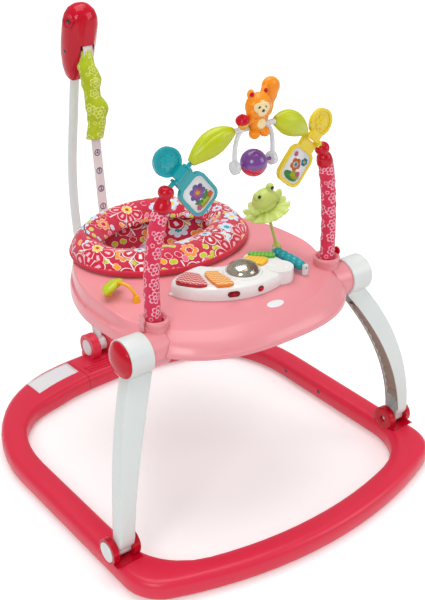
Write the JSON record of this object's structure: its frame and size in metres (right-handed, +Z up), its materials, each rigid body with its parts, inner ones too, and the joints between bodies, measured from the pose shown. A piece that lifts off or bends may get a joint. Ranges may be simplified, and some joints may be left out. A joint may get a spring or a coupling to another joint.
{
  "type": "baby jumper frame",
  "caption": "Folding baby jumper: floor ring, curved legs, round activity tray with padded sling seat, toy arch and a rear post that hangs the tray on a sprung strap.",
  "frame": {"origin": "on the floor, under the middle of the overall box", "axes": "+Z up, the front of the jumper towards -Y, +X to the seated child's left"},
  "size_m": [0.745, 0.8824, 0.8608],
  "materials": {
    "red_tube": "blow-moulded red plastic with a satin sheen",
    "red_gloss": "glossy deep red plastic",
    "dark_plastic": "plain dark plastic",
    "steel": "bright steel",
    "rubber": "soft dark rubber",
    "white_plastic": "off-white moulded plastic",
    "taupe_plastic": "ribbed taupe plastic",
    "pink_plastic": "pale pink moulded plastic",
    "seat_fabric": "printed cotton over padding",
    "sling_fabric": "printed cotton",
    "sleeve_fabric": "red cotton with small flower outlines",
    "lime_fabric": "gathered lime cotton",
    "webbing": "white webbing",
    "mirror": "smoky half-mirrored dome",
    "lime_plastic": "lime moulded plastic",
    "teal_plastic": "teal moulded plastic",
    "yellow_plastic": "yellow moulded plastic",
    "orange_plastic": "orange moulded plastic",
    "green_plastic": "green moulded plastic",
    "purple_plastic": "purple moulded plastic",
    "clear_green": "translucent pale green plastic"
  },
  "bodies": {
    "base": {"base_front_tube": "red_tube", "base_left_tube": "red_tube", "base_right_tube": "red_tube", "base_joiners": "dark_plastic", "base_screws": "steel", "floor_pads": "rubber", "left_hinge_bracket": "red_gloss", "right_hinge_bracket": "red_gloss", "rear_hinge_bracket": "red_gloss", "hinge_pins": "steel"},
    "left_leg": {"left_leg": "white_plastic", "left_leg_liner": "taupe_plastic", "left_leg_cap": "red_gloss"},
    "right_leg": {"right_leg": "white_plastic", "right_leg_liner": "taupe_plastic", "right_leg_cap": "red_gloss"},
    "tray": {"tray_shell": "pink_plastic", "tray_shoulders": "pink_plastic", "pivot_bushes": "white_plastic", "seat_ring": "white_plastic", "seat_pad": "seat_fabric", "seat_sling": "sling_fabric", "strap_anchor": "red_gloss", "console_shell": "white_plastic", "console_floor": "white_plastic", "mirror_dome": "mirror", "speaker_drum": "white_plastic", "toy_arms": "white_plastic", "left_sleeve": "sleeve_fabric", "right_sleeve": "sleeve_fabric", "arm_finials": "red_gloss", "teal_flip_frame": "teal_plastic", "yellow_flip_frame": "yellow_plastic", "arch_leaves": "lime_plastic", "squirrel": "orange_plastic", "ball_loop": "white_plastic", "bead_arch": "yellow_plastic", "roller_stand": "white_plastic"},
    "rear_post": {"post_tube": "white_plastic", "head_shells": "red_gloss", "bounce_spring": "steel", "strap_sleeve": "lime_fabric"},
    "strap": {"strap": "webbing"},
    "left_release_button": {"left_release_button": "white_plastic"},
    "right_release_button": {"right_release_button": "white_plastic"},
    "rear_release_button": {"rear_release_button": "white_plastic"},
    "red_key": {"red_key": "red_gloss"},
    "orange_key": {"orange_key": "orange_plastic"},
    "yellow_key": {"yellow_key": "yellow_plastic"},
    "green_key": {"green_key": "green_plastic"},
    "volume_slider": {"volume_slider": "red_gloss"},
    "mode_button": {"mode_button": "red_gloss"},
    "left_arm_latch": {"left_arm_latch": "red_gloss"},
    "right_arm_latch": {"right_arm_latch": "red_gloss"},
    "teal_flip_lid": {"teal_flip_lid": "teal_plastic"},
    "yellow_flip_lid": {"yellow_flip_lid": "yellow_plastic"},
    "spinner_ball": {"spinner_ball": "purple_plastic"},
    "leaf_bead": {"leaf_bead": "lime_plastic"},
    "roller": {"roller": "teal_plastic"},
    "frog_toy": {"frog_toy": "clear_green"}
  },
  "joints": [
    {"name": "left_leg_fold", "type": "hinge", "parent": "base", "child": "left_leg", "pos_m": [-0.344, -0.25925, 0.06], "axis": [1, 0, 0], "range_deg": [0, 60]},
    {"name": "right_leg_fold", "type": "hinge", "parent": "base", "child": "right_leg", "pos_m": [0.344, -0.25925, 0.06], "axis": [1, 0, 0], "range_deg": [0, 60]},
    {"name": "tray_bounce", "type": "hinge", "parent": "left_leg", "child": "tray", "pos_m": [-0.259, -0.19225, 0.391], "axis": [1, 0, 0], "range_deg": [-7, 0], "stiffness_Nm_per_rad": 180, "springref_deg": 3.44},
    {"name": "post_fold", "type": "hinge", "parent": "base", "child": "rear_post", "pos_m": [0, 0.35575, 0.07], "axis": [1, 0, 0], "range_deg": [0, 36]},
    {"name": "strap_slide", "type": "slide", "parent": "rear_post", "child": "strap", "axis": [0, 0.1023, 0.9948], "range_m": [-0.0605, 0], "deforming": ["bounce_spring", "strap_sleeve"]},
    {"name": "left_button_press", "type": "slide", "parent": "base", "child": "left_release_button", "axis": [1, 0, 0], "range_m": [0, 0.003], "stiffness_N_per_m": 400, "springref_m": -0.002},
    {"name": "right_button_press", "type": "slide", "parent": "base", "child": "right_release_button", "axis": [-1, 0, 0], "range_m": [0, 0.003], "stiffness_N_per_m": 400, "springref_m": -0.002},
    {"name": "rear_button_press", "type": "slide", "parent": "base", "child": "rear_release_button", "axis": [1, 0, 0], "range_m": [0, 0.003], "stiffness_N_per_m": 400, "springref_m": -0.002},
    {"name": "red_key_press", "type": "slide", "parent": "tray", "child": "red_key", "axis": [0, 0, -1], "range_m": [0, 0.0025], "stiffness_N_per_m": 400, "springref_m": -0.003},
    {"name": "orange_key_press", "type": "slide", "parent": "tray", "child": "orange_key", "axis": [0, 0, -1], "range_m": [0, 0.0025], "stiffness_N_per_m": 400, "springref_m": -0.003},
    {"name": "yellow_key_press", "type": "slide", "parent": "tray", "child": "yellow_key", "axis": [0, 0, -1], "range_m": [0, 0.0025], "stiffness_N_per_m": 400, "springref_m": -0.003},
    {"name": "green_key_press", "type": "slide", "parent": "tray", "child": "green_key", "axis": [0, 0, -1], "range_m": [0, 0.0025], "stiffness_N_per_m": 400, "springref_m": -0.003},
    {"name": "volume_slide", "type": "slide", "parent": "tray", "child": "volume_slider", "axis": [0.9205, -0.3907, 0], "range_m": [-0.006, 0.006]},
    {"name": "mode_press", "type": "slide", "parent": "tray", "child": "mode_button", "axis": [0.0523, 0.9986, 0], "range_m": [0, 0.0015], "stiffness_N_per_m": 300, "springref_m": -0.001},
    {"name": "left_latch_tip", "type": "hinge", "parent": "tray", "child": "left_arm_latch", "pos_m": [-0.2288, -0.18025, 0.427], "axis": [0, -1, 0], "range_deg": [0, 15], "stiffness_Nm_per_rad": 0.05, "springref_deg": -11.46},
    {"name": "right_latch_tip", "type": "hinge", "parent": "tray", "child": "right_arm_latch", "pos_m": [0.2288, -0.18025, 0.427], "axis": [0, 1, 0], "range_deg": [0, 15], "stiffness_Nm_per_rad": 0.05, "springref_deg": -11.46},
    {"name": "teal_lid_flip", "type": "hinge", "parent": "tray", "child": "teal_flip_lid", "pos_m": [-0.146, -0.18925, 0.695], "axis": [0.766, 0, 0.6428], "range_deg": [0, 178]},
    {"name": "yellow_lid_flip", "type": "hinge", "parent": "tray", "child": "yellow_flip_lid", "pos_m": [0.146, -0.18925, 0.695], "axis": [0.766, 0, -0.6428], "range_deg": [0, 168]},
    {"name": "ball_spin", "type": "hinge", "parent": "tray", "child": "spinner_ball", "pos_m": [0, -0.19725, 0.686], "axis": [1, 0, 0], "continuous": true},
    {"name": "roller_spin", "type": "hinge", "parent": "tray", "child": "roller", "pos_m": [0.132, -0.15025, 0.445], "axis": [0, 1, 0], "continuous": true},
    {"name": "bead_run", "type": "hinge", "parent": "tray", "child": "leaf_bead", "pos_m": [-0.195, -0.06625, 0.4301], "axis": [0.8944, 0.4472, 0], "range_deg": [0, 92]},
    {"name": "frog_sway", "type": "hinge", "parent": "tray", "child": "frog_toy", "pos_m": [0.158, -0.08425, 0.4393], "axis": [0, 1, 0], "range_deg": [-12, 12], "stiffness_Nm_per_rad": 2, "springref_deg": 1.15}
  ],
  "couplings": [
    {"joint": "right_leg_fold", "follows": "left_leg_fold", "ratio": 1},
    {"joint": "post_fold", "follows": "left_leg_fold", "ratio": 0.6},
    {"joint": "strap_slide", "follows": "tray_bounce", "m_per_rad": 0.49}
  ]
}
